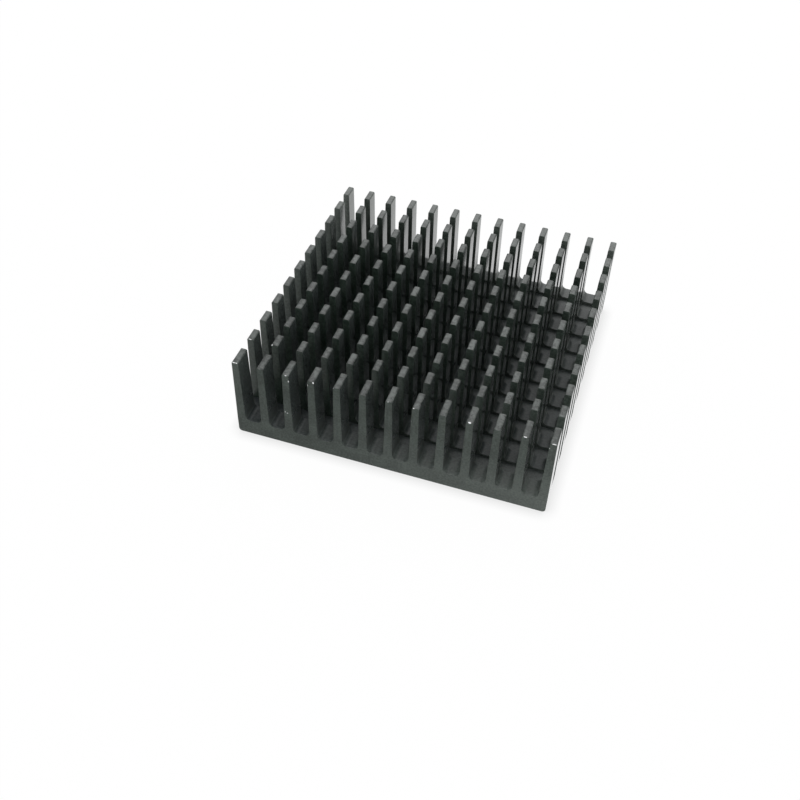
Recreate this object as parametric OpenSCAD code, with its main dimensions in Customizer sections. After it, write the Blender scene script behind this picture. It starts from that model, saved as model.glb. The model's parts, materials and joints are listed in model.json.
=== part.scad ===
// Pin fin heat sink, one piece of aluminium.
//
// A bar is extruded as a comb: a flat base with a row of upright, slightly
// drafted fins. The bar is then sawn across, which parts every fin into a
// column of pins, and cut to length. Nothing is assembled and nothing moves.
//
// Frame: +Z up, the fins stand in a row along X and run along Y. The origin
// is the middle of the resting face.

/* [Overall] */
// Width of the base, across the fins
base_w = 40; // [30:0.5:60]
// Length of the base, along the fins
base_l = 40; // [32:0.5:60]
// Height from the resting face to the pin tips
height = 12; // [8:0.25:20]

/* [Base] */
// Thickness of the base under the grooves between the fins
base_t = 2.3; // [1.6:0.1:4]
// Radius on the two lower edges that run along the fins
edge_r = 0.45; // [0.2:0.05:0.8]

/* [Fins] */
// Number of fins in the row
fin_count = 13; // [6:1:15]
// Thickness of a fin at its tip
tip_t = 0.85; // [0.6:0.05:1]
// Thickness of a fin at its root, at the level of the groove floor
root_t = 1.15; // [1.05:0.05:1.6]
// Radius on the two long edges of each fin tip
tip_r = 0.2; // [0.05:0.05:0.25]
// Radius in the two bottom corners of each groove
groove_r = 0.7; // [0.2:0.05:0.8]

/* [Cross cuts] */
// Number of pin rows along the base
row_count = 11; // [5:1:13]
// Width of each cross cut
cut_w = 1.75; // [1.2:0.05:2]
// Depth of each cross cut below the groove floor
cut_sink = 0.4; // [0.1:0.05:0.8]
// Length along the fins of the pins in the front row
front_pin_l = 2.7; // [1.2:0.05:4]
// Length along the fins of the pins in the back row
back_pin_l = 2.15; // [1.2:0.05:4]

/* [Hidden] */
$fn = 48;

// How far a cutting shape runs past the faces it opens
past = 1;
// How far a rounding reaches through the two faces it joins, so that it
// crosses them instead of only touching them
bite = 0.001;

// Fins: at their roots the outer flanks stand flush with the base's sides
fin_pitch = (base_w - root_t) / (fin_count - 1);
first_fin_x = (root_t - base_w) / 2;
fin_h = height - base_t;
draft = atan((root_t - tip_t) / 2 / fin_h);

// Centre of the rounding on a fin's tip, from the middle of its foot
tip_reach = tip_r - bite;
tip_z = height - tip_r;
tip_x = half_t(tip_z) - tip_reach / cos(draft);

// Centre of the fillet beside a fin's root. Two of them fit in a groove.
groove_fillet = min(groove_r, 0.48 * (fin_pitch - root_t));
foot_reach = groove_fillet - bite;
foot_z = base_t + foot_reach;
foot_x = half_t(foot_z) + foot_reach / cos(draft);

// Cross cuts: the rows between the two end rows share what is left evenly
cut_count = row_count - 1;
row_pitch = (base_l - front_pin_l - back_pin_l - cut_w) / (cut_count - 1);
first_cut_y = front_pin_l - base_l / 2;
cut_floor_z = base_t - cut_sink;

// Half the thickness of a fin at the height z
function half_t(z) = root_t / 2 - (z - base_t) * tan(draft);

// Right side of a fin's outline, upwards. A foot takes the fillet.
function side_points(has_foot) = [
    [has_foot ? foot_x : root_t / 2, base_t / 2],
    [has_foot ? foot_x : root_t / 2, base_t],
    if (has_foot)
        [foot_x - foot_reach * cos(draft), foot_z - foot_reach * sin(draft)],
    [tip_x + tip_reach * cos(draft), tip_z + tip_reach * sin(draft)],
    [tip_x, tip_z + tip_reach],
];

// The same points on the left side, downwards
function mirrored(points) =
    [for (i = [len(points) - 1 : -1 : 0]) [-points[i].x, points[i].y]];

// Section of the base, with its two lower corners rounded
module base_section() {
    inner_w = base_w - 2 * edge_r;
    translate([-base_w / 2, edge_r]) square([base_w, base_t - edge_r]);
    translate([-inner_w / 2, 0]) square([inner_w, base_t]);
    for (side = [-1, 1])
        translate([side * inner_w / 2, edge_r]) circle(r = edge_r);
}

// Section of one fin, with a fillet on each side that faces a groove
module fin_section(groove_left, groove_right) {
    difference() {
        polygon(concat(
            side_points(groove_right), mirrored(side_points(groove_left))
        ));
        for (side = [-1, 1])
            if (side < 0 ? groove_left : groove_right)
                translate([side * foot_x, foot_z]) circle(r = groove_fillet);
    }
    for (side = [-1, 1])
        translate([side * tip_x, tip_z]) circle(r = tip_r);
}

// The extruded section: the base and its row of fins
module comb_section() {
    base_section();
    for (i = [0 : fin_count - 1])
        translate([first_fin_x + i * fin_pitch, 0])
            fin_section(i > 0, i < fin_count - 1);
}

// One saw cut across all the fins, down into the base
module cross_cut() {
    translate([-base_w / 2 - past, 0, cut_floor_z])
        cube([base_w + 2 * past, cut_w, fin_h + cut_sink + past]);
}

module heat_sink() {
    color("#2c2e2e")
        difference() {
            rotate([90, 0, 0])
                linear_extrude(height = base_l, center = true)
                    comb_section();
            for (j = [0 : cut_count - 1])
                translate([0, first_cut_y + j * row_pitch, 0]) cross_cut();
        }
}

heat_sink();
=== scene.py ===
"""Pin fin heat sink: the dressed metal, its stage, its light and its camera.

The part is one bar of extruded aluminium, sawn across into pins and anodised
black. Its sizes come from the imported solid, and the classes below rebuild it
as one closed mesh that also has the broken saw edges, the knocks on the pins
and the finishes.
"""

import json
import logging
import math
import random
from dataclasses import dataclass, field
from enum import Enum, IntEnum

import bmesh
import bpy
import numpy as np
from mathutils import Matrix, Vector

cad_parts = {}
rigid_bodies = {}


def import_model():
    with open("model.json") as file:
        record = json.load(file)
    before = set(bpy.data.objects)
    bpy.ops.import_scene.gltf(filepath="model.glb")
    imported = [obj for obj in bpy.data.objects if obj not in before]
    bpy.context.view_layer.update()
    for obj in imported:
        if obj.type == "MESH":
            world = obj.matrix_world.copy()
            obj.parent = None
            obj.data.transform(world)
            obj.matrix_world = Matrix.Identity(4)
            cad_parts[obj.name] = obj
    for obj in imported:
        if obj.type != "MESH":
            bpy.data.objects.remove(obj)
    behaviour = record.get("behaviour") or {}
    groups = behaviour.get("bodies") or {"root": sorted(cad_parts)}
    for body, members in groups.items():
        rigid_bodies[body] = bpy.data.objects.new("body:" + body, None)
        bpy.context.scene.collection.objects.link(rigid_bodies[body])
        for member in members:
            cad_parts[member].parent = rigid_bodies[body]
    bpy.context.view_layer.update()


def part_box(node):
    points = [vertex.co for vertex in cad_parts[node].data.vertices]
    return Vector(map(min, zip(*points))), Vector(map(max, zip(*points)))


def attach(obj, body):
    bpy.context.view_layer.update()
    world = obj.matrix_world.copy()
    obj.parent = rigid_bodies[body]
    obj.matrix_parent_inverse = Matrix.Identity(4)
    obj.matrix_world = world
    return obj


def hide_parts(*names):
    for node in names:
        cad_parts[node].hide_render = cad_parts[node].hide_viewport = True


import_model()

NODE = "heat_sink"
# A millimetre, in the scene's metres.
MM = 0.001
# Points nearer to each other than this, in metres, become one.
WELD_GAP = 0.001 * MM
# Seed of the small unevenness in the knocks.
KNOCK_SEED = 11
# Name of the layer that holds how bare the metal is.
BARE = "bare"

log = logging.getLogger("pin_fin_heat_sink")

Point = tuple[float, float]
Span = tuple[float, float]
Colour = tuple[float, float, float]
Socket = bpy.types.NodeSocket
Number = Socket | float

WHITE: Colour = (1.0, 1.0, 1.0)
# Numbers of a mixing node's colour inputs and of its colour output.
COLOUR_A, COLOUR_B, COLOUR_RESULT = 6, 7, 2
# How much of a noise lies in each finer layer.
NOISE_ROUGHNESS = 0.6
# The span that most of a noise lies in.
NOISE_SPAN: Span = (0.3, 0.7)


class Surface(IntEnum):
    """How a face was made, which is also its place among the finishes."""

    EXTRUDED = 0
    SAWN = 1
    TIP = 2
    FLOOR = 3


class Side(Enum):
    """Which way a side of a fin faces."""

    GROOVE = "a groove"
    OUTSIDE = "the outside"


class Spot(Enum):
    """The place of a knock on a pin, with the direction that it came from."""

    FRONT_TOP = (0.0, -1.0, 1.0)
    FRONT_RIGHT = (1.0, -1.0, 0.0)
    FRONT_LEFT = (-1.0, -1.0, 0.0)
    TOP_LEFT_CORNER = (-1.0, -1.0, 1.0)
    TOP_RIGHT_CORNER = (1.0, -1.0, 1.0)
    FACE = (0.0, -1.0, 0.0)


# ---------------------------------------------------------------- the shape


@dataclass(frozen=True)
class FinSection:
    """Outline of a fin and of the groove floor beside it, in millimetres.

    Attributes:
        pitch: Distance from one fin to the next.
        root_t: Thickness at the level of the groove floor.
        tip_t: Thickness at the tip, before its edges are rounded.
        tip_r: Radius on the two long edges of the tip.
        groove_r: Radius in the bottom corner of a groove.
        base_t: Height of the groove floor.
        height: Height of the tip.
        arc_steps: Facets in a groove's corner.
        flank_steps: Facets up a flank.
        tip_steps: Facets in a tip's rounding.
    """

    pitch: float
    root_t: float
    tip_t: float
    tip_r: float
    groove_r: float
    base_t: float
    height: float
    arc_steps: int = 7
    flank_steps: int = 3
    tip_steps: int = 4

    @property
    def draft(self) -> float:
        """Angle between a flank and the upright, in radians."""
        return math.atan((self.root_t - self.tip_t) / 2 / (self.height - self.base_t))

    def half_t(self, z: float) -> float:
        """Half the thickness of the fin at the height z."""
        return self.root_t / 2 - (z - self.base_t) * math.tan(self.draft)

    def side(self, faces: Side, inset: float) -> list[Point]:
        """Points up one side, as distance from the fin's middle and height.

        Args:
            faces: What the side looks on to.
            inset: How far the points lie inside the true outline.

        Returns:
            The points from the foot to the edge of the flat top. The first
            one is at the level of the groove floor.
        """
        lean_x, lean_z = math.cos(self.draft), math.sin(self.draft)
        tip_z = self.height - self.tip_r
        tip_x = self.half_t(tip_z) - self.tip_r / lean_x
        foot_z = self.base_t + self.groove_r
        foot_x = self.half_t(foot_z) + self.groove_r / lean_x
        reach = self.groove_r + inset
        straight_down = 1.5 * math.pi
        arc = []
        for step in range(self.arc_steps + 1):
            turn = straight_down + (self.draft - math.pi / 2) * step / self.arc_steps
            arc.append((foot_x + reach * math.cos(turn), foot_z + reach * math.sin(turn)))
        if faces is Side.OUTSIDE:
            arc = [(self.half_t(max(z, self.base_t)) - inset, z) for _, z in arc]
        start = arc[-1]
        end = (
            tip_x + (self.tip_r - inset) * lean_x,
            tip_z + (self.tip_r - inset) * lean_z,
        )
        flank = [
            (start[0] + (end[0] - start[0]) * part, start[1] + (end[1] - start[1]) * part)
            for part in np.linspace(0, 1, self.flank_steps + 1)[1:-1]
        ]
        tip = []
        for step in range(self.tip_steps + 1):
            turn = self.draft + (math.pi / 2 - self.draft) * step / self.tip_steps
            tip.append((
                tip_x + (self.tip_r - inset) * math.cos(turn),
                tip_z + (self.tip_r - inset) * math.sin(turn),
            ))
        return arc + flank + tip

    def floor(self, inset: float) -> list[Point]:
        """Points on the groove floor, as distance from the fin's middle and height.

        Args:
            inset: How far the points lie inside the true outline.

        Returns:
            The points, from the groove's middle towards the fin's foot.
        """
        lean_x = math.cos(self.draft)
        foot_z = self.base_t + self.groove_r
        foot_x = self.half_t(foot_z) + self.groove_r / lean_x
        z = self.base_t - inset
        return [(self.pitch / 2, z), ((self.pitch / 2 + foot_x) / 2, z)]


@dataclass
class MetalMesh:
    """Grids of points that are welded into one closed mesh.

    Attributes:
        points: The corners of all the faces, in metres.
        faces: The corners of each face, by number.
        surfaces: How each face was made.
    """

    points: list[Vector] = field(default_factory=list)
    faces: list[tuple[int, ...]] = field(default_factory=list)
    surfaces: list[Surface] = field(default_factory=list)

    def grid(self, rows: list[list[tuple[float, float, float]]], surface: Surface) -> None:
        """Adds a sheet of four-sided faces.

        Args:
            rows: Equal rows of points, in millimetres.
            surface: How the sheet's faces were made.
        """
        first = len(self.points)
        width = len(rows[0])
        self.points.extend(Vector(point) * MM for row in rows for point in row)
        for i in range(len(rows) - 1):
            for j in range(width - 1):
                a = first + i * width + j
                self.faces.append((a, a + 1, a + width + 1, a + width))
                self.surfaces.append(surface)

    def weld(self) -> bmesh.types.BMesh:
        """Joins the sheets where they meet.

        Returns:
            The closed mesh, its faces turned outwards.
        """
        mesh = bmesh.new()
        verts = [mesh.verts.new(point) for point in self.points]
        for face, surface in zip(self.faces, self.surfaces):
            made = mesh.faces.new([verts[i] for i in face])
            made.material_index = int(surface)
        bmesh.ops.remove_doubles(mesh, verts=mesh.verts[:], dist=WELD_GAP)
        bmesh.ops.recalc_face_normals(mesh, faces=mesh.faces[:])
        return mesh


@dataclass(frozen=True)
class Knock:
    """A place where something hit the metal and broke through its colour.

    Attributes:
        column: Fin, counted from the left, from 1.
        row: Pin along that fin, counted from the front, from 1.
        spot: Where on the pin it is.
        across: Distance to the right of the pin's middle, in millimetres.
        below: Distance below the pin's tip, in millimetres.
        length: Length of the bruise, in millimetres.
        depth: How far the edge is pressed in, in millimetres.
        bare: How much of its colour is gone, from 0 to 1.
    """

    column: int
    row: int
    spot: Spot
    across: float = 0.0
    below: float = 0.0
    length: float = 0.3
    depth: float = 0.05
    bare: float = 1.0


@dataclass(frozen=True)
class Hammer:
    """How a knock is worked into the mesh.

    Attributes:
        fine_edge: Longest edge that is left round a knock, in millimetres.
        passes: How many times an edge may be halved.
        search: How far beyond a knock its faces are looked for, in millimetres.
        fine_margin: How far the fine mesh reaches past a knock, in millimetres.
        press_margin: How far past a knock a point may still move, in millimetres.
        hollow: Power that gives the bruise its round bottom.
        uneven: Least and greatest share of the depth that a point is given.
        bare_fall: How steeply the bared metal ends at the bruise's rim.
        slack: How far off a place a point may be and still count, in metres.
        box_slack: How many times that slack the fine box is widened by.
    """

    fine_edge: float = 0.06
    passes: int = 6
    search: float = 5.0
    fine_margin: float = 0.10
    press_margin: float = 0.09
    hollow: float = 0.5
    uneven: Span = (0.75, 1.15)
    bare_fall: float = 3.0
    slack: float = 1e-9
    box_slack: float = 10.0


@dataclass
class HeatSinkBody:
    """The sawn comb: a base with its field of pins, as one closed mesh.

    Attributes:
        low: Lowest corner of the solid, in millimetres.
        high: Highest corner of the solid, in millimetres.
        knocks: Bruises on the pins.
        hammer: How the bruises are made.
        fin_count: Fins across the width.
        row_count: Rows of pins along the length.
        base_t: Thickness of the base under the grooves, in millimetres.
        edge_r: Radius of the base's two long lower edges, in millimetres.
        tip_t: Thickness of a fin at its tip, in millimetres.
        root_t: Thickness of a fin at the groove floor, in millimetres.
        tip_r: Radius on the long edges of a tip, in millimetres.
        groove_r: Radius in the corners of a groove, in millimetres.
        cut_w: Width of a saw cut, in millimetres.
        cut_sink: Depth of a cut below the groove floor, in millimetres.
        front_pin_l: Length of the front pins along the fin, in millimetres.
        back_pin_l: Length of the back pins along the fin, in millimetres.
        broken_edge: Width of the broken edge along a saw cut, in millimetres.
        station_lead: Distance from a cut to the next section, in millimetres.
        top_steps: Facets across the flat of a tip.
        corner_steps: Facets in the rounding of the base's lower edges.
        tip_share: Share of the tips' rounding that belongs to the tips.
        corner_share: How far a corner's middle lies inside its square, in radii.
        floor_rise: Least upward lean of a face that counts as floor.
        crease: Angle above which an edge is shaded sharp, in degrees.
    """

    low: Vector
    high: Vector
    knocks: tuple[Knock, ...] = ()
    hammer: Hammer = Hammer()
    fin_count: int = 13
    row_count: int = 11
    base_t: float = 2.3
    edge_r: float = 0.45
    tip_t: float = 0.85
    root_t: float = 1.15
    tip_r: float = 0.2
    groove_r: float = 0.7
    cut_w: float = 1.75
    cut_sink: float = 0.4
    front_pin_l: float = 2.7
    back_pin_l: float = 2.15
    broken_edge: float = 0.04
    station_lead: float = 0.35
    top_steps: int = 2
    corner_steps: int = 5
    tip_share: float = 0.5
    corner_share: float = 0.3
    floor_rise: float = 0.70
    crease: float = 32.0

    def __post_init__(self) -> None:
        """Works out the section and the rows from the sizes."""
        self.width = self.high.x - self.low.x
        self.length = self.high.y - self.low.y
        self.pitch = (self.width - self.root_t) / (self.fin_count - 1)
        self.cut_floor = self.base_t - self.cut_sink
        self.section = FinSection(
            pitch=self.pitch, root_t=self.root_t, tip_t=self.tip_t, tip_r=self.tip_r,
            groove_r=self.groove_r, base_t=self.base_t, height=self.high.z,
        )

    def fin_x(self, index: int) -> float:
        """Middle of a fin, counted from the left, from 0."""
        return self.low.x + self.root_t / 2 + index * self.pitch

    def row_span(self, index: int) -> tuple[float, float]:
        """Where a row of pins begins and ends along the part.

        Args:
            index: Row, counted from the front, from 0.

        Returns:
            The row's front and its back, in millimetres.
        """
        cuts = self.row_count - 1
        spare = self.length - self.front_pin_l - self.back_pin_l - self.cut_w
        step = spare / (cuts - 1)
        first_cut = self.low.y + self.front_pin_l
        front = self.low.y if index == 0 else first_cut + (index - 1) * step + self.cut_w
        back = self.high.y if index == cuts else first_cut + index * step
        return front, back

    def stations(self, index: int) -> list[float]:
        """Places along a row where its section is drawn.

        Args:
            index: Row, counted from the front, from 0.

        Returns:
            The places from front to back, in millimetres.
        """
        front, back = self.row_span(index)
        edge, lead = self.broken_edge, self.station_lead
        return [
            front, front + edge, front + lead, (front + back) / 2,
            back - lead, back - edge, back,
        ]

    def fin_sides(self, index: int, inset: float) -> tuple[list[Point], list[Point]]:
        """Left and right side of a fin, in the part's own frame.

        Args:
            index: Fin, counted from the left, from 0.
            inset: How far the points lie inside the true outline.

        Returns:
            The points up the left side and up the right side.
        """
        middle = self.fin_x(index)
        left = Side.OUTSIDE if index == 0 else Side.GROOVE
        right = Side.OUTSIDE if index == self.fin_count - 1 else Side.GROOVE
        return (
            [(middle - u, z) for u, z in self.section.side(left, inset)],
            [(middle + u, z) for u, z in self.section.side(right, inset)],
        )

    def across(self, left: Point, right: Point) -> list[Point]:
        """A row of points from one side of a fin to the other.

        Args:
            left: The point on the left side.
            right: The point on the right side.

        Returns:
            The points from left to right, with the two given ones.
        """
        parts = [step / self.top_steps for step in range(self.top_steps + 1)]
        return [
            (left[0] + (right[0] - left[0]) * part, left[1] + (right[1] - left[1]) * part)
            for part in parts
        ]

    def comb_outline(self, inset: float, foot_inset: float) -> list[Point]:
        """The whole upper outline, from the left side of the base to the right.

        Args:
            inset: How far the points lie inside the true outline.
            foot_inset: The same for the two ends, at the cut floor's level.

        Returns:
            The points, from left to right.
        """
        outline = [(self.low.x + foot_inset, self.cut_floor)]
        for index in range(self.fin_count):
            left, right = self.fin_sides(index, inset)
            middle = self.fin_x(index)
            floor = self.section.floor(inset)
            if index > 0:
                outline += [(middle - u, z) for u, z in floor[1:]]
            outline += left
            outline += self.across(left[-1], right[-1])[1:-1]
            outline += right[::-1]
            if index < self.fin_count - 1:
                outline += [(middle + u, z) for u, z in floor[::-1]]
        outline.append((self.high.x - foot_inset, self.cut_floor))
        return outline

    def level_line(self, index: int, inset: float) -> list[Point]:
        """Points across one fin's foot and half of each groove beside it.

        Args:
            index: Fin, counted from the left, from 0.
            inset: How far the points lie inside the true outline.

        Returns:
            The points from left to right.
        """
        left, right = self.fin_sides(index, inset)
        middle = self.fin_x(index)
        floor = self.section.floor(inset)
        line = self.across(left[0], right[0])
        if index > 0:
            line = [(middle - u, z) for u, z in floor] + line
        if index < self.fin_count - 1:
            line = line + [(middle + u, z) for u, z in floor[::-1]]
        return line

    def foot_line(self, inset: float) -> list[float]:
        """Where the columns of faces stand across the part.

        Args:
            inset: How far the first and last lie inside the part's sides.

        Returns:
            The places from left to right, in millimetres.
        """
        xs: list[float] = []
        for index in range(self.fin_count):
            line = [x for x, _ in self.level_line(index, 0.0)]
            xs += line[1:] if index > 0 else line
        xs[0], xs[-1] = self.low.x + inset, self.high.x - inset
        return xs

    def wall(self, mesh: MetalMesh, y: float, foot_inset: float) -> None:
        """Adds the sawn face of a row of pins, down to the cut floor.

        Args:
            mesh: The sheets so far.
            y: Where along the part the face stands, in millimetres.
            foot_inset: How far its lower corners lie inside the part's sides.
        """
        feet = self.foot_line(foot_inset)
        start = 0
        for index in range(self.fin_count):
            line = self.level_line(index, self.broken_edge)
            foot = feet[start:start + len(line)]
            start += len(line) - 1
            mesh.grid(
                [[(x, y, self.cut_floor) for x in foot], [(x, y, z) for x, z in line]],
                Surface.SAWN,
            )
            left, right = self.fin_sides(index, self.broken_edge)
            rows = [self.across(a, b) for a, b in zip(left, right)]
            mesh.grid([[(x, y, z) for x, z in row] for row in rows], Surface.SAWN)

    def row(self, mesh: MetalMesh, index: int) -> None:
        """Adds one row of pins with the strips of groove floor between them.

        Args:
            mesh: The sheets so far.
            index: Row, counted from the front, from 0.
        """
        stations = self.stations(index)
        ends = (index == 0, index == self.row_count - 1)
        edge = self.broken_edge
        sections = []
        for place, y in enumerate(stations):
            at_front, at_back = place == 0, place == len(stations) - 1
            inset = edge if at_front or at_back else 0.0
            at_end = (at_front and ends[0]) or (at_back and ends[1])
            outline = self.comb_outline(inset, edge if at_end else 0.0)
            sections.append([(x, y, z) for x, z in outline])
        mesh.grid(sections[:2], Surface.SAWN)
        mesh.grid(sections[1:-1], Surface.EXTRUDED)
        mesh.grid(sections[-2:], Surface.SAWN)
        self.wall(mesh, stations[0], edge if ends[0] else 0.0)
        self.wall(mesh, stations[-1], edge if ends[1] else 0.0)

    def lower_rows(self, inset: float) -> list[Point]:
        """The base's side, as half widths with their heights.

        Args:
            inset: How far the points lie inside the true outline.

        Returns:
            The points from the cut floor down to the resting face.
        """
        half = self.width / 2
        rows = [(half - inset, self.cut_floor)]
        for step in range(self.corner_steps + 1):
            turn = math.pi / 2 * step / self.corner_steps
            reach = self.edge_r - inset
            rows.append((
                half - self.edge_r + reach * math.cos(turn),
                self.edge_r - reach * math.sin(turn),
            ))
        return rows

    def base(self, mesh: MetalMesh) -> None:
        """Adds the base below the cut floor, and the floors of the cuts.

        Args:
            mesh: The sheets so far.
        """
        columns = self.foot_line(0.0)
        inner = columns[1:-1]
        places: list[float] = []
        for index in range(self.row_count):
            places += self.stations(index)
        last = len(places) - 1
        lower = [
            self.lower_rows(self.broken_edge if i in (0, last) else 0.0)
            for i in range(len(places))
        ]
        for end in (0, last):
            mesh.grid(
                [[(x, places[end], z) for x in (-w, *inner, w)] for w, z in lower[end]],
                Surface.SAWN,
            )
        spans = (
            (0, 2, Surface.SAWN),
            (1, last, Surface.EXTRUDED),
            (last - 1, last + 1, Surface.SAWN),
        )
        for first, stop, surface in spans:
            for side in (-1, 1):
                mesh.grid(
                    [[(side * w, places[i], z) for w, z in lower[i]] for i in range(first, stop)],
                    surface,
                )
            mesh.grid(
                [
                    [(x, places[i], z) for x in (-w, *inner, w)]
                    for i in range(first, stop) for w, z in lower[i][-1:]
                ],
                surface,
            )
        for index in range(self.row_count - 1):
            front, back = self.row_span(index)[1], self.row_span(index + 1)[0]
            mesh.grid(
                [[(x, y, self.cut_floor) for x in columns] for y in (front, back)],
                Surface.SAWN,
            )

    def knock_place(self, knock: Knock) -> Vector:
        """Finds the point that a knock is centred on.

        Args:
            knock: The knock.

        Returns:
            The point, in millimetres.
        """
        middle = self.fin_x(knock.column - 1)
        front, _ = self.row_span(knock.row - 1)
        z = self.high.z - knock.below
        half = self.section.half_t(z)
        rounding = self.tip_r * self.corner_share
        if knock.spot is Spot.FRONT_RIGHT:
            return Vector((middle + half, front, z))
        if knock.spot is Spot.FRONT_LEFT:
            return Vector((middle - half, front, z))
        if knock.spot is Spot.TOP_LEFT_CORNER:
            return Vector((middle - half + rounding, front, self.high.z - rounding))
        if knock.spot is Spot.TOP_RIGHT_CORNER:
            return Vector((middle + half - rounding, front, self.high.z - rounding))
        return Vector((middle + knock.across, front, z))

    def in_box(self, vert: bmesh.types.BMVert, centre: Vector, reach: float) -> bool:
        """Whether a point lies in the fine box round a knock, or just on it."""
        box = reach + self.hammer.box_slack * self.hammer.slack
        return max(abs(value) for value in vert.co - centre) < box

    def refine(self, mesh: bmesh.types.BMesh, centre: Vector, reach: float) -> None:
        """Gives the faces in a small box round a point short edges.

        Args:
            mesh: The closed mesh, in metres.
            centre: The middle of the box, in metres.
            reach: Half the size of the box, in metres.
        """
        fine = self.hammer.fine_edge * MM
        far = reach + self.hammer.search * MM
        near = [f for f in mesh.faces if (f.calc_center_median() - centre).length < far]
        for axis in (Vector((1, 0, 0)), Vector((0, 1, 0)), Vector((0, 0, 1))):
            for side in (-1, 1):
                parts = {e for f in near for e in f.edges} | {v for f in near for v in f.verts}
                cut = bmesh.ops.bisect_plane(
                    mesh, geom=[*near, *parts], dist=self.hammer.slack,
                    plane_co=centre + axis * side * reach, plane_no=axis,
                )
                near = [g for g in cut["geom"] if isinstance(g, bmesh.types.BMFace)]
        faces = [f for f in near if all(self.in_box(v, centre, reach) for v in f.verts)]
        edges = {edge for face in faces for edge in face.edges}
        for _ in range(self.hammer.passes):
            long_edges = [edge for edge in edges if edge.calc_length() > fine]
            if not long_edges:
                return
            made = bmesh.ops.subdivide_edges(
                mesh, edges=long_edges, cuts=1, use_grid_fill=True
            )
            fresh = {e for e in made["geom"] if isinstance(e, bmesh.types.BMEdge)}
            edges = {
                edge for edge in fresh | {edge for edge in edges if edge.is_valid}
                if all(self.in_box(vert, centre, reach) for vert in edge.verts)
            }

    def strike(self, mesh: bmesh.types.BMesh, knock: Knock, chance: random.Random) -> None:
        """Presses one knock into the mesh and marks where it bared the metal.

        Args:
            mesh: The closed mesh, in metres, with its layer of bareness.
            knock: The knock.
            chance: The seeded source of its small unevenness.
        """
        bare = mesh.verts.layers.float[BARE]
        centre = self.knock_place(knock) * MM
        outward = Vector(knock.spot.value).normalized()
        half = knock.length / 2 * MM
        self.refine(mesh, centre, half + self.hammer.fine_margin * MM)
        along = {
            Spot.FRONT_TOP: Vector((1, 0, 0)),
            Spot.FRONT_LEFT: Vector((0, 0, 1)),
            Spot.FRONT_RIGHT: Vector((0, 0, 1)),
        }.get(knock.spot)
        for vert in mesh.verts:
            offset = vert.co - centre
            if offset.length > half + self.hammer.press_margin * MM:
                continue
            height = offset.dot(outward)
            run = offset.dot(along) if along else (offset - outward * height).length
            share = 1.0 - (run / half) ** 2
            if share <= 0.0:
                continue
            depth = knock.depth * MM * share ** self.hammer.hollow
            depth *= chance.uniform(*self.hammer.uneven)
            if height > -depth:
                vert.co -= outward * (depth + height)
                cover = min(1.0, share * self.hammer.bare_fall)
                vert[bare] = max(vert[bare], knock.bare * cover)
                for face in vert.link_faces:
                    face.smooth = False

    def sort_faces(self, mesh: bmesh.types.BMesh) -> None:
        """Tells tips and floors from the rest, and shades the sawn faces flat.

        Args:
            mesh: The closed mesh, in metres, before any knock.
        """
        tip_level = (self.high.z - self.tip_r * self.tip_share) * MM
        foot_level = (self.base_t + self.groove_r) * MM
        for face in mesh.faces:
            surface = Surface(face.material_index)
            centre = face.calc_center_median()
            if surface is Surface.EXTRUDED and centre.z > tip_level:
                surface = Surface.TIP
            elif centre.z < foot_level and face.normal.z > self.floor_rise:
                surface = Surface.FLOOR
            face.material_index = int(surface)
            face.smooth = surface is not Surface.SAWN

    def build(self) -> bpy.types.Object:
        """Makes the closed mesh.

        Returns:
            The piece, not yet dressed.
        """
        sheets = MetalMesh()
        for index in range(self.row_count):
            self.row(sheets, index)
        self.base(sheets)
        mesh = sheets.weld()
        self.sort_faces(mesh)
        mesh.verts.layers.float.new(BARE)
        chance = random.Random(KNOCK_SEED)
        for knock in self.knocks:
            self.strike(mesh, knock, chance)
        open_edges = sum(1 for edge in mesh.edges if len(edge.link_faces) != 2)
        log.info("body: %d faces, %d open edges", len(mesh.faces), open_edges)
        data = bpy.data.meshes.new("anodised_body")
        mesh.to_mesh(data)
        mesh.free()
        data.set_sharp_from_angle(angle=math.radians(self.crease))
        piece = bpy.data.objects.new("anodised_body", data)
        bpy.context.scene.collection.objects.link(piece)
        return piece


# ------------------------------------------------------------- the finishes


def opaque(colour: Colour) -> tuple[float, float, float, float]:
    """The colour with full cover, as the shaders' sockets take it."""
    return (*colour, 1.0)


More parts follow.
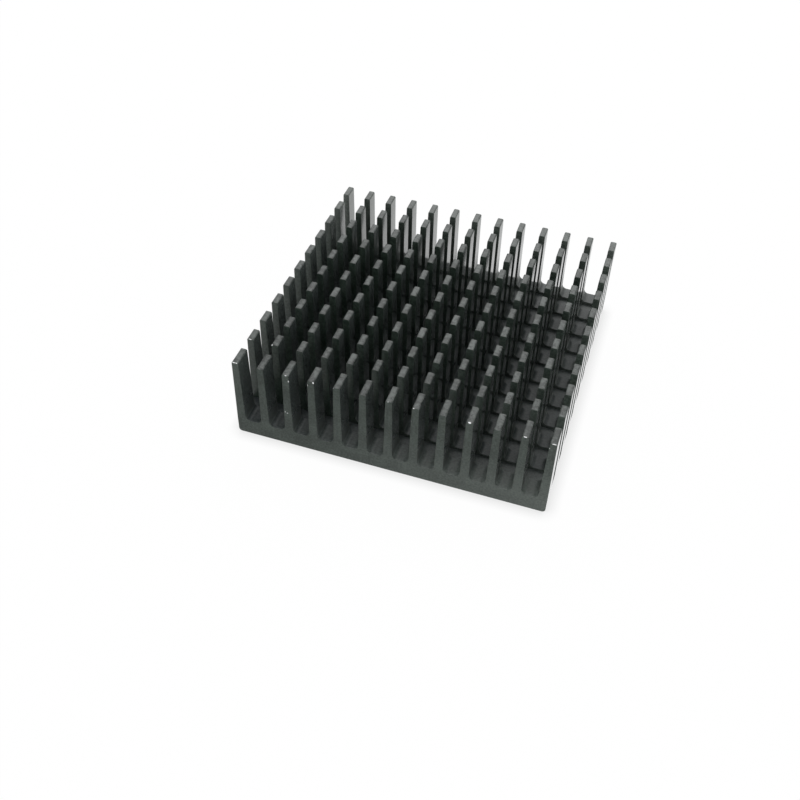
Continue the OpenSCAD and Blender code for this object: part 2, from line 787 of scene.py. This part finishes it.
@dataclass
class NodeSheet:
    """The nodes of a material or of the world, placed and joined by name.

    Attributes:
        owner: The material or the world.
    """

    owner: bpy.types.Material | bpy.types.World

    def __post_init__(self) -> None:
        """Clears the owner's nodes and gives it its output."""
        self.owner.use_nodes = True
        self.tree = self.owner.node_tree
        self.tree.nodes.clear()
        is_world = isinstance(self.owner, bpy.types.World)
        self.output = self.node("OutputWorld" if is_world else "OutputMaterial")

    def node(self, kind: str, **inputs: object) -> bpy.types.Node:
        """Adds a node.

        Args:
            kind: Its type name, without the shader prefix.
            inputs: Values or sockets for its inputs, by name. An underscore
                stands for a space, a leading "set_" names a property, and a
                leading "in_" goes before an input's number.

        Returns:
            The node.
        """
        made = self.tree.nodes.new("ShaderNode" + kind)
        for name, value in inputs.items():
            if name.startswith("set_"):
                setattr(made, name.removeprefix("set_"), value)
        for name, value in inputs.items():
            if name.startswith("set_"):
                continue
            key: str | int = name.replace("_", " ")
            if name.startswith("in_"):
                key = int(name.removeprefix("in_"))
            if isinstance(value, Socket):
                self.tree.links.new(value, made.inputs[key])
            else:
                made.inputs[key].default_value = value
        return made

    def finish(self, shader: bpy.types.Node) -> None:
        """Joins a shader to the output."""
        self.tree.links.new(shader.outputs[0], self.output.inputs["Surface"])

    def math(self, operation: str, a: Number, b: Number = 0.0) -> Socket:
        """Works on two values and returns the result."""
        return self.node("Math", set_operation=operation, in_0=a, in_1=b).outputs[0]

    def blend(self, share: Number, a: Number, b: Number) -> Socket:
        """Mixes two numbers and returns the result."""
        mixed = self.node("Mix", set_data_type="FLOAT", Factor=share, A=a, B=b)
        return mixed.outputs[0]

    def blend_colour(self, share: Number, a: Socket | Colour, b: Socket | Colour) -> Socket:
        """Mixes two colours.

        Args:
            share: The share of the second colour.
            a: The first colour.
            b: The second colour.

        Returns:
            The mixed colour.
        """
        first, second = (
            colour if isinstance(colour, Socket) else opaque(colour) for colour in (a, b)
        )
        mixed = self.node(
            "Mix", set_data_type="RGBA", Factor=share,
            **{f"in_{COLOUR_A}": first, f"in_{COLOUR_B}": second},
        )
        return mixed.outputs[COLOUR_RESULT]

    def place(self) -> tuple[Socket, Socket, Socket]:
        """A point's X, Y and Z on the part's own axes, in metres."""
        split = self.node("SeparateXYZ", Vector=self.node("TexCoord").outputs["Object"])
        return split.outputs["X"], split.outputs["Y"], split.outputs["Z"]

    def remap(self, value: Number, span: Span, to: Span = (0.0, 1.0)) -> Socket:
        """Maps one span evenly on to another, and stays at its ends beyond them.

        Args:
            value: The value to map.
            span: Where the value begins and stops to count.
            to: What it gives there.

        Returns:
            The mapped value.
        """
        return self.node(
            "MapRange", Value=value, From_Min=span[0], From_Max=span[1],
            To_Min=to[0], To_Max=to[1],
        ).outputs[0]

    def ramp(self, place: Number, span: Span, to: Span = (0.0, 1.0)) -> Socket:
        """The same along one of the part's axes, with the span in millimetres."""
        return self.remap(place, (span[0] * MM, span[1] * MM), to)

    def noise(self, where: Socket, scale: tuple[float, float, float], detail: float) -> Socket:
        """Noise, stretched differently along each axis.

        Args:
            where: The point it is read at.
            scale: Waves in a unit of length, along each axis.
            detail: How many finer layers it has.

        Returns:
            The noise, about 0.5 on average.
        """
        placed = self.node("Mapping", Vector=where, Scale=scale).outputs[0]
        return self.node(
            "TexNoise", Vector=placed, Scale=1.0, Detail=detail, Roughness=NOISE_ROUGHNESS
        ).outputs[0]

    def grain(self, scale: tuple[float, float, float], detail: float) -> Socket:
        """Noise on the part's own axes, with its waves in a millimetre."""
        where = self.node("TexCoord").outputs["Object"]
        return self.noise(where, tuple(value / MM for value in scale), detail)


@dataclass(frozen=True)
class DustAndPaintedLight:
    """A pale dusty film that is also painted light: paler low on the right, on the back rows and
    high on the left fin.

    Its places and heights are in millimetres, on the part's own axes.

    Attributes:
        colour: Colour of the pale film, partly dusty and partly painted light.
        share: How much of it shows where it is thickest.
        aloft: Its share on the upper half of the pins.
        within: Its share behind the front row, against that on the row; below 1 it leaves painted
            light on the lit front ends.
        rear: How much more of it shows on the back rows, as painted light for their brighter
            grazing reflection.
        left: How much more of it shows high up on the left fin, as painted light from the left.
        across: Where it begins and where it is thickest, across the part.
        up: Between which heights it thins out.
        inward: Between which places along the part it changes behind the front.
        backward: Between which places along the part it grows towards the back.
        back_power: How suddenly it grows there.
        left_fin: Between which places across the part the left fin's begins.
        left_up: Between which heights the left fin's grows.
        broken: Least and greatest share that its patches leave.
    """

    colour: Colour = (0.125, 0.143, 0.131)
    share: float = 0.56
    aloft: float = 0.25
    within: float = 1.0
    rear: float = 0.50
    left: float = 0.20
    across: Span = (-10.0, 20.0)
    up: Span = (2.0, 8.0)
    inward: Span = (-18.5, -15.5)
    backward: Span = (5.0, 19.0)
    back_power: float = 3.0
    left_fin: Span = (-18.0, -18.8)
    left_up: Span = (5.0, 10.0)
    broken: Span = (0.6, 1.3)

    def cover(self, sheet: NodeSheet, patches: Socket) -> Socket:
        """How much of the film the pale coat hides, which is partly dusty and partly painted
        light.

        Args:
            sheet: The material's nodes.
            patches: Noise that breaks the dust up.

        Returns:
            The share of the pale colour.
        """
        x, y, z = sheet.place()
        # Paler low down towards the right: partly a dusty film, partly painted light from the
        # right.
        to_right = sheet.ramp(x, self.across)
        low_down = sheet.ramp(z, self.up, (1.0, self.aloft))
        # With within below 1 the front ends stay paler than the rest: painted light on the lit
        # front of the grooves.
        to_inside = sheet.ramp(y, self.inward, (1.0, self.within))
        share = sheet.math("MULTIPLY", sheet.math("MULTIPLY", to_right, low_down), to_inside)
        # Paler on the back rows: painted light for their bright grazing reflection.
        to_rear = sheet.math("POWER", sheet.ramp(y, self.backward), self.back_power)
        rear = sheet.math("MULTIPLY", to_rear, self.rear)
        # Paler high up on the left fin: painted light from the left.
        high_up = sheet.ramp(z, self.left_up, (0.0, self.left))
        left = sheet.math("MULTIPLY", sheet.ramp(x, self.left_fin), high_up)
        rim = sheet.math("ADD", rear, left)
        share = sheet.math("ADD", sheet.math("MULTIPLY", share, self.share), rim)
        patchy = sheet.remap(patches, NOISE_SPAN, self.broken)
        return sheet.math("MINIMUM", sheet.math("MULTIPLY", share, patchy), 1.0)


@dataclass(frozen=True)
class Anodising:
    """Black anodised aluminium, with the marks that its making left.

    Attributes:
        name: Name of the finish.
        surface: How the metal under it was made.
        dark: Colour where the film is thickest.
        pale: Colour where the film is thin.
        bare: Colour of the metal where a knock has bared it.
        bare_roughness: Roughness of the bared metal.
        roughness: Roughness of the film.
        spread: How much the roughness varies.
        foot_roughness: Roughness at the foot of a fin, where it differs.
        foot_span: Between which heights it changes up a fin, in millimetres.
        side_roughness: Roughness of the part's two outer sides, where it differs.
        side_span: Between which distances from the middle it changes, in millimetres.
        index: Refractive index of the sealed film.
        line_depth: Depth of the die lines or saw marks, in millimetres.
        spot_relief: Height of the mottling's spots, against that of the lines.
        spot_share: Share of spots, rather than lines, in the varied roughness.
        die_lines: Waves of the die lines in a millimetre, along X, Y and Z.
        saw_radius: Radius of the saw's blade, in millimetres.
        saw_floor: Height of the blade's lowest point, in millimetres.
        saw_lines: Waves of the saw marks in a millimetre, across them and along Y.
        line_detail: Finer layers in the die lines and saw marks.
        speckle: Spots in a millimetre of the film's mottling.
        speckle_detail: Finer layers in those spots.
        cloud: Slow patches in a millimetre of it.
        cloud_detail: Finer layers in those patches.
        cloudiness: Share of slow patches, rather than spots, in the mottling.
        mottle: Level of the noise at which the film is half pale.
        mottle_reach: How far from it the film is all dark or all pale.
        contrast: How many times more sharply than that the mottling changes.
        dust_and_light: The pale film over the black, partly dusty and partly painted light.
    """

    name: str
    surface: Surface
    dark: Colour = (0.010, 0.018, 0.013)
    pale: Colour = (0.045, 0.062, 0.051)
    bare: Colour = (0.92, 0.93, 0.94)
    bare_roughness: float = 0.30
    roughness: float = 0.34
    spread: float = 0.10
    foot_roughness: float | None = None
    foot_span: Span = (2.6, 6.5)
    side_roughness: float | None = None
    side_span: Span = (19.3, 19.5)
    index: float = 1.38
    line_depth: float = 0.005
    spot_relief: float = 0.5
    spot_share: float = 0.5
    die_lines: tuple[float, float, float] = (14.0, 0.12, 14.0)
    saw_radius: float = 40.0
    saw_floor: float = 1.9
    saw_lines: tuple[float, float] = (4.0, 0.8)
    line_detail: float = 3.0
    speckle: float = 3.6
    speckle_detail: float = 4.0
    cloud: float = 0.35
    cloud_detail: float = 2.0
    cloudiness: float = 0.35
    mottle: float = 0.52
    mottle_reach: float = 0.14
    contrast: float = 1.4
    dust_and_light: DustAndPaintedLight = DustAndPaintedLight()

    def saw_marks(self, sheet: NodeSheet) -> Socket:
        """Arcs that the saw's teeth left as the blade ran across the fins.

        Args:
            sheet: The material's nodes.

        Returns:
            The marks, as noise.
        """
        x, y, z = sheet.place()
        radius = self.saw_radius * MM
        rise = sheet.math("SUBTRACT", z, self.saw_floor * MM)
        drop = sheet.math("SUBTRACT", radius, rise)
        reach = sheet.math("SUBTRACT", radius ** 2, sheet.math("MULTIPLY", drop, drop))
        side = sheet.math("SQRT", sheet.math("MAXIMUM", reach, 0.0))
        along = sheet.node("CombineXYZ", X=sheet.math("ADD", x, side), Y=y).outputs[0]
        across, deep = self.saw_lines
        return sheet.noise(along, (across / MM, deep / MM, 1.0), self.line_detail)

    def lines(self, sheet: NodeSheet) -> Socket:
        """Long marks: die lines along the fins, or saw marks across them."""
        if self.surface is Surface.SAWN:
            return self.saw_marks(sheet)
        return sheet.grain(self.die_lines, self.line_detail)

    def mottling(self, sheet: NodeSheet, speckle: Socket) -> Socket:
        """The film's colour, from dark to pale in spots and slow patches.

        Args:
            sheet: The material's nodes.
            speckle: The noise of the spots.

        Returns:
            The colour, before the pale dusty film and its painted light.
        """
        cloud = sheet.grain((self.cloud,) * 3, self.cloud_detail)
        reach = self.mottle_reach / self.contrast
        share = sheet.remap(
            sheet.blend(self.cloudiness, speckle, cloud),
            (self.mottle - reach, self.mottle + reach),
        )
        return sheet.blend_colour(share, self.dark, self.pale)

    def film_roughness(self, sheet: NodeSheet) -> Number:
        """Roughness of the film: by height in the grooves, and even on the sides.

        Args:
            sheet: The material's nodes.

        Returns:
            The roughness, without its unevenness.
        """
        if self.foot_roughness is None:
            return self.roughness
        x, _, z = sheet.place()
        by_height = sheet.ramp(z, self.foot_span, (self.foot_roughness, self.roughness))
        if self.side_roughness is None:
            return by_height
        on_side = sheet.ramp(sheet.math("ABSOLUTE", x), self.side_span)
        return sheet.blend(on_side, by_height, self.side_roughness)

    def build(self) -> bpy.types.Material:
        """Makes the finish.

        Returns:
            The material.
        """
        sheet = NodeSheet(bpy.data.materials.new(self.name))
        lines = self.lines(sheet)
        speckle = sheet.grain((self.speckle,) * 3, self.speckle_detail)
        film = self.mottling(sheet, speckle)
        # Mixes in the pale film, partly dusty and partly painted light: paler low on the right,
        # on the back rows and high on the left fin.
        colour = sheet.blend_colour(self.dust_and_light.cover(sheet, speckle), film, self.dust_and_light.colour)
        half = self.spread / 2
        marks = sheet.blend(self.spot_share, lines, speckle)
        uneven = sheet.remap(marks, NOISE_SPAN, (-half, half))
        rough = sheet.math("ADD", self.film_roughness(sheet), uneven)
        worn = sheet.node("Attribute", set_attribute_name=BARE).outputs["Fac"]
        relief = sheet.math("ADD", lines, sheet.math("MULTIPLY", speckle, self.spot_relief))
        bump = sheet.node(
            "Bump", Height=relief, Strength=1.0, Distance=self.line_depth * MM
        ).outputs[0]
        sheet.finish(sheet.node(
            "BsdfPrincipled",
            Base_Color=sheet.blend_colour(worn, colour, self.bare),
            Metallic=worn,
            Roughness=sheet.blend(worn, rough, self.bare_roughness),
            IOR=self.index,
            Normal=bump,
        ))
        return sheet.owner


# ---------------------------------------------------- stage, light and camera


@dataclass(frozen=True)
class Studio:
    """A white table in a white room, with one soft lamp.

    Attributes:
        table_size: Side of the table, in metres.
        table_colour: Colour of the table, as light falls on it.
        glow: Share of the table that is plain white to the eye.
        nook: How far from the part the table darkens, in metres.
        nook_shade: How light the table is where it can see nothing.
        nook_samples: Rays that look for what shades the table.
        room: Strength of the room's light on rough surfaces.
        lamp_power: Power of the lamp, in watts.
        lamp_size: Side of the lamp, in metres.
        lamp_from: Direction and distance of the lamp from the part, in metres.
    """

    table_size: float = 3.0
    table_colour: Colour = (0.93, 0.93, 0.93)
    glow: float = 0.98
    nook: float = 0.0018
    nook_shade: float = 0.62
    nook_samples: int = 8
    room: float = 0.88
    lamp_power: float = 0.95
    lamp_size: float = 0.40
    lamp_from: tuple[float, float, float] = (-0.06, 0.42, 0.34)

    def seen(self, sheet: NodeSheet) -> Socket:
        """Tells what is seen from what is only lit.

        Args:
            sheet: The nodes of the table or of the room.

        Returns:
            1 for rays from the eye, off gloss or through glass, 0 for others.
        """
        path = sheet.node("LightPath")
        total = path.outputs["Is Camera Ray"]
        for name in ("Is Glossy Ray", "Is Transmission Ray"):
            total = sheet.math("MAXIMUM", total, path.outputs[name])
        return total

    def table_finish(self) -> bpy.types.Material:
        """Makes the table's white, which keeps a thin shade round the part.

        Returns:
            The material.
        """
        sheet = NodeSheet(bpy.data.materials.new("white_table"))
        share = sheet.math("MULTIPLY", self.seen(sheet), self.glow)
        matt = sheet.node("BsdfDiffuse", Color=opaque(self.table_colour))
        nook = sheet.node(
            "AmbientOcclusion", set_samples=self.nook_samples, Distance=self.nook
        )
        direct = sheet.node("LightPath").outputs["Is Camera Ray"]
        hidden = sheet.math("SUBTRACT", 1.0, nook.outputs["AO"])
        shade = sheet.blend_colour(
            sheet.math("MULTIPLY", hidden, direct), WHITE, (self.nook_shade,) * 3
        )
        white = sheet.node("Emission", Color=shade, Strength=1.0)
        sheet.finish(sheet.node(
            "MixShader", in_0=share, in_1=matt.outputs[0], in_2=white.outputs[0]
        ))
        return sheet.owner

    def table(self) -> None:
        """Makes the white table that the part stands on."""
        half = self.table_size / 2
        data = bpy.data.meshes.new("table_top")
        corners = [(-half, -half, 0), (half, -half, 0), (half, half, 0), (-half, half, 0)]
        data.from_pydata(corners, [], [(0, 1, 2, 3)])
        top = bpy.data.objects.new("table_top", data)
        bpy.context.scene.collection.objects.link(top)
        data.materials.append(self.table_finish())

    def room_light(self) -> None:
        """Makes the white room."""
        world = bpy.data.worlds.new("white_room")
        bpy.context.scene.world = world
        sheet = NodeSheet(world)
        light = sheet.node("Background", Color=opaque(WHITE), Strength=self.room)
        white = sheet.node("Background", Color=opaque(WHITE), Strength=1.0)
        sheet.finish(sheet.node(
            "MixShader", in_0=self.seen(sheet), in_1=light.outputs[0], in_2=white.outputs[0]
        ))

    def lamp(self, aim: Vector) -> None:
        """Hangs the soft lamp above and behind the part.

        Args:
            aim: The point it shines at, in metres.
        """
        data = bpy.data.lights.new("soft_lamp", "AREA")
        data.shape = "SQUARE"
        data.size = self.lamp_size
        data.energy = self.lamp_power
        lamp = bpy.data.objects.new("soft_lamp", data)
        offset = Vector(self.lamp_from)
        lamp.location = aim + offset
        lamp.rotation_mode = "QUATERNION"
        lamp.rotation_quaternion = offset.to_track_quat("Z", "Y")
        bpy.context.scene.collection.objects.link(lamp)

    def build(self, aim: Vector) -> None:
        """Makes the table, the room and the lamp.

        Args:
            aim: The point that the lamp shines at, in metres.
        """
        self.table()
        self.room_light()
        self.lamp(aim)
        bpy.context.scene.view_settings.view_transform = "Standard"
        log.info("stage: table, room and lamp")


@dataclass(frozen=True)
class Eye:
    """The camera, placed by its aim, its distance and its direction.

    Attributes:
        aim: The point in the middle of the view, in millimetres.
        distance: From that point, in millimetres.
        azimuth: Turn to the right of the part's front, in degrees.
        elevation: Height above the table, in degrees.
        roll: Lift of the view's right side, in degrees.
        lens: Focal length, in millimetres.
        frame_width: Width of the frame behind the lens, in millimetres.
        nearest: Nearest distance that is seen, in metres.
        farthest: Farthest distance that is seen, in metres.
    """

    aim: tuple[float, float, float] = (-0.58, -13.58, 6.0)
    distance: float = 120.49
    azimuth: float = 16.85
    elevation: float = 45.50
    roll: float = 2.09
    lens: float = 43.65
    frame_width: float = 36.0
    nearest: float = 0.01
    farthest: float = 20.0

    def build(self) -> None:
        """Makes the camera and gives it to the scene."""
        turn, lift = math.radians(self.azimuth), math.radians(self.elevation)
        back = Vector((
            math.sin(turn) * math.cos(lift), -math.cos(turn) * math.cos(lift), math.sin(lift),
        ))
        level = Vector((math.cos(turn), math.sin(turn), 0.0))
        rise = back.cross(level)
        tilt = math.radians(self.roll)
        right = level * math.cos(tilt) + rise * math.sin(tilt)
        up = back.cross(right)
        data = bpy.data.cameras.new("eye")
        data.sensor_width = self.frame_width
        data.lens = self.lens
        data.clip_start, data.clip_end = self.nearest, self.farthest
        eye = bpy.data.objects.new("eye", data)
        pose = Matrix((right, up, back)).transposed().to_4x4()
        pose.translation = (Vector(self.aim) + back * self.distance) * MM
        eye.matrix_world = pose
        bpy.context.scene.collection.objects.link(eye)
        bpy.context.scene.camera = eye
        log.info("camera: %.2f mm from its aim", self.distance)


# ------------------------------------------------------------------ the part


# The knocks, from the left fin to the right.
KNOCKS = (
    Knock(1, 1, Spot.FRONT_TOP, across=-0.12, length=0.46, depth=0.055),
    Knock(1, 1, Spot.FRONT_TOP, across=0.24, length=0.34, depth=0.050),
    Knock(1, 2, Spot.FRONT_TOP, across=0.0, length=0.45, depth=0.045, bare=0.9),
    Knock(2, 1, Spot.FRONT_TOP, across=-0.10, length=0.50, depth=0.035, bare=0.15),
    Knock(2, 2, Spot.TOP_LEFT_CORNER, length=0.28, depth=0.09),
    Knock(3, 1, Spot.FRONT_TOP, across=0.10, length=0.28, depth=0.050, bare=0.8),
    Knock(3, 1, Spot.FRONT_RIGHT, below=0.85, length=0.30, depth=0.05),
    Knock(3, 1, Spot.FACE, across=-0.33, below=6.30, length=0.14, depth=0.02, bare=0.7),
    Knock(3, 1, Spot.FACE, across=-0.05, below=6.42, length=0.18, depth=0.02, bare=0.8),
    Knock(3, 1, Spot.FACE, across=0.20, below=6.34, length=0.12, depth=0.02, bare=0.5),
    Knock(4, 1, Spot.TOP_RIGHT_CORNER, length=0.30, depth=0.08),
    Knock(4, 1, Spot.FRONT_LEFT, below=0.62, length=0.42, depth=0.06),
    Knock(5, 1, Spot.TOP_LEFT_CORNER, length=0.22, depth=0.05, bare=0.3),
    Knock(7, 1, Spot.FRONT_TOP, across=-0.08, length=0.46, depth=0.030),
    Knock(8, 1, Spot.FRONT_TOP, across=-0.22, length=0.22, depth=0.045),
    Knock(8, 1, Spot.FRONT_LEFT, below=2.15, length=0.50, depth=0.03, bare=0.6),
    Knock(10, 1, Spot.FRONT_TOP, across=-0.03, length=0.36, depth=0.10),
    Knock(11, 1, Spot.FRONT_TOP, across=0.0, length=0.60, depth=0.05, bare=0.12),
    Knock(12, 1, Spot.FRONT_TOP, across=-0.02, length=0.44, depth=0.055),
    Knock(13, 1, Spot.FRONT_TOP, across=0.08, length=0.62, depth=0.050, bare=0.9),
    Knock(13, 1, Spot.FRONT_LEFT, below=0.85, length=0.22, depth=0.06),
)
# The finishes, in the order of their surfaces.
FINISHES = (
    Anodising(
        "anodised_extrusion", Surface.EXTRUDED, dark=(0.031, 0.038, 0.037),
        pale=(0.045, 0.053, 0.052), roughness=0.13, spread=0.04, foot_roughness=0.46,
        side_roughness=0.06, index=1.75, line_depth=0.0002, contrast=1.0,
        # Painted light: the flanks grow paler across the part to the right, and much paler on the
        # back rows for their grazing reflection.
        dust_and_light=DustAndPaintedLight(share=0.75, aloft=0.35, rear=1.10, across=(-42.0, 20.0)),
    ),
    # Its pale film paints light low on the right, on the back rows and high on the left fin,
    # partly standing for a dusty film.
    Anodising("anodised_saw_cut", Surface.SAWN),
    Anodising(
        "anodised_pin_tips", Surface.TIP, dark=(0.012, 0.016, 0.014),
        pale=(0.088, 0.099, 0.094), spread=0.30, index=1.40, line_depth=0.006,
        # Painted light: the back rows' tips are paler, for their brighter grazing reflection.
        speckle=2.2, cloudiness=0.30, contrast=1.6, dust_and_light=DustAndPaintedLight(rear=0.35),
    ),
    Anodising(
        "anodised_floors", Surface.FLOOR, dark=(0.016, 0.022, 0.023),
        pale=(0.048, 0.056, 0.059), roughness=0.43, spread=0.16, index=1.42,
        line_depth=0.003,
        # Painted light: the floors are paler at the lit front ends of the grooves and towards the
        # right.
        dust_and_light=DustAndPaintedLight(share=1.10, within=0.28, rear=0.10, across=(-22.0, 20.0)),
    ),
)


def main() -> None:
    """Builds the part, dresses it and sets the stage."""
    logging.basicConfig(level=logging.INFO, format="%(name)s: %(message)s")
    low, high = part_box(NODE)
    body = HeatSinkBody(low=low / MM, high=high / MM, knocks=KNOCKS)
    piece = body.build()
    for finish in FINISHES:
        piece.data.materials.append(finish.build())
        log.info("finish: %s", finish.name)
    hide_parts(NODE)
    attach(piece, "root")
    log.info("%s stands for %s", piece.name, NODE)
    Studio().build(aim=(low + high) / 2)
    Eye().build()


if __name__ == "__main__":
    main()
